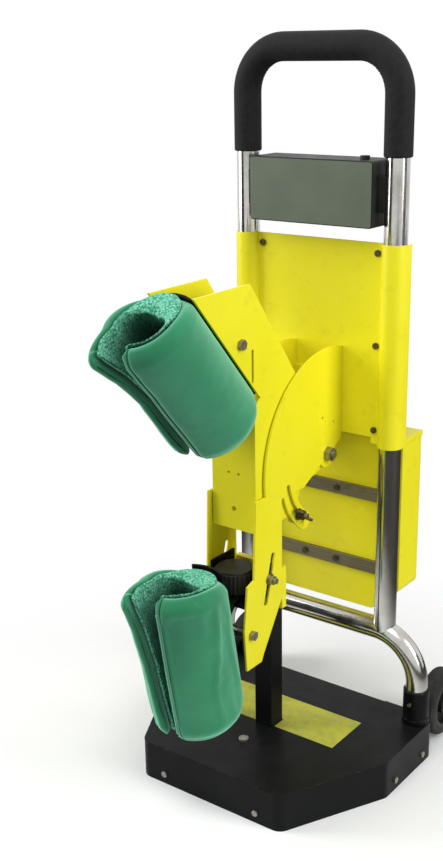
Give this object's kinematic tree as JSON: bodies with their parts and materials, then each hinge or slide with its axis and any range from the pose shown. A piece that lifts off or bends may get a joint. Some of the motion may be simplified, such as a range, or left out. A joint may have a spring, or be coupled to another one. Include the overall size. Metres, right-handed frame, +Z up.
{
  "type": "escalator handrail cleaning machine",
  "caption": "Standing trolley that wipes a moving escalator handrail: padded sleeves with terry linings on a tilting yellow bracket, tube frame, weighted base, rear wheels.",
  "frame": {"origin": "centre of the base's underside", "axes": "+Z up, sleeves towards -Y, +X to the right seen from the sleeves' side"},
  "size_m": [0.395, 0.5416, 1.016],
  "materials": {
    "yellow_paint": "gloss powder coat",
    "label_yellow": "bare plate",
    "black_paint": "semi-gloss powder coat",
    "ballast_iron": "rough cast",
    "polished_tube": "polished",
    "grip_foam": "matte foam",
    "dark_steel": "dull",
    "zinc_steel": "zinc plated",
    "box_black": "fine grain",
    "cover_grey": "satin",
    "button_black": "satin",
    "battery_blue": "shrink sleeve",
    "knob_black": "ribbed",
    "tyre_rubber": "matte",
    "sleeve_green": "smooth padded cover",
    "lining_mint": "terry"
  },
  "bodies": {
    "root": {"back_panel": "yellow_paint", "rear_box": "yellow_paint", "side_plate_left": "yellow_paint", "side_plate_right": "yellow_paint", "post_plate": "yellow_paint", "label_plate": "label_yellow", "base_cover": "black_paint", "base_floor": "black_paint", "leg_socket_left": "black_paint", "leg_socket_right": "black_paint", "post": "black_paint", "post_foot": "black_paint", "axle_brackets": "black_paint", "ballast_blocks": "ballast_iron", "leg_hoop": "polished_tube", "handle_hoop": "polished_tube", "handle_grip": "grip_foam", "crossbar_upper": "dark_steel", "crossbar_lower": "dark_steel", "base_screws": "zinc_steel", "cover_bolt": "zinc_steel", "socket_screws": "zinc_steel", "crossbar_screws": "zinc_steel", "panel_screws": "zinc_steel", "lid_hinge_pin": "zinc_steel", "stub_axles": "zinc_steel", "axle_nuts": "zinc_steel", "post_foot_bolts": "zinc_steel", "post_plate_bolts": "zinc_steel", "side_plate_screws": "zinc_steel", "pivot_bolt": "zinc_steel", "pivot_nut": "zinc_steel", "tie_bolt": "zinc_steel", "control_box": "box_black", "box_saddles": "box_black", "control_cover": "cover_grey", "battery_pack": "battery_blue"},
    "upper_arm": {"upper_arm": "yellow_paint", "pivot_spacer": "zinc_steel", "clamp_rod": "zinc_steel", "upper_holder": "black_paint", "upper_holder_bolt": "zinc_steel", "upper_sleeve": "sleeve_green", "upper_lining": "lining_mint"},
    "clamp_wing_nut": {"clamp_wing_nut": "dark_steel"},
    "lower_carriage": {"lower_carriage": "black_paint", "slot_bolts": "zinc_steel", "adjusting_stud": "zinc_steel"},
    "lower_holder": {"lower_holder": "black_paint", "lower_sleeve": "sleeve_green", "lower_lining": "lining_mint"},
    "adjusting_knob": {"adjusting_knob": "knob_black", "knob_washer": "zinc_steel"},
    "wheel_left": {"wheel_left": "box_black", "tyre_left": "tyre_rubber"},
    "wheel_right": {"wheel_right": "box_black", "tyre_right": "tyre_rubber"},
    "control_button": {"control_button": "button_black"},
    "rear_box_lid": {"rear_box_lid": "yellow_paint"}
  },
  "joints": [
    {"name": "upper_arm_tilt", "type": "hinge", "parent": "root", "child": "upper_arm", "pos_m": [0, 0.089, 0.455], "axis": [1, 0, 0], "range_deg": [-28, 8]},
    {"name": "clamp_nut_turn", "type": "hinge", "parent": "upper_arm", "child": "clamp_wing_nut", "pos_m": [0.045, 0.01469, 0.38809], "axis": [1, 0, 0], "continuous": true},
    {"name": "lower_slide", "type": "slide", "parent": "root", "child": "lower_carriage", "axis": [0, 0.2588, 0.9659], "range_m": [-0.022, 0.012]},
    {"name": "lower_swivel", "type": "hinge", "parent": "lower_carriage", "child": "lower_holder", "pos_m": [0, -0.078, 0.295], "axis": [0, 0, 1], "range_deg": [-5, 5]},
    {"name": "knob_turn", "type": "hinge", "parent": "lower_carriage", "child": "adjusting_knob", "pos_m": [0, -0.078, 0.315], "axis": [0, 0, 1], "continuous": true},
    {"name": "wheel_left_roll", "type": "hinge", "parent": "root", "child": "wheel_left", "pos_m": [-0.174, 0.2, 0.054], "axis": [1, 0, 0], "continuous": true},
    {"name": "wheel_right_roll", "type": "hinge", "parent": "root", "child": "wheel_right", "pos_m": [0.174, 0.2, 0.054], "axis": [1, 0, 0], "continuous": true},
    {"name": "button_press", "type": "slide", "parent": "root", "child": "control_button", "axis": [0, 0, -1], "range_m": [0, 0.003], "stiffness_N_per_m": 300, "springref_m": -0.001},
    {"name": "lid_open", "type": "hinge", "parent": "root", "child": "rear_box_lid", "pos_m": [0, 0.2011, 0.4747], "axis": [-1, 0, 0], "range_deg": [0, 100]}
  ]
}
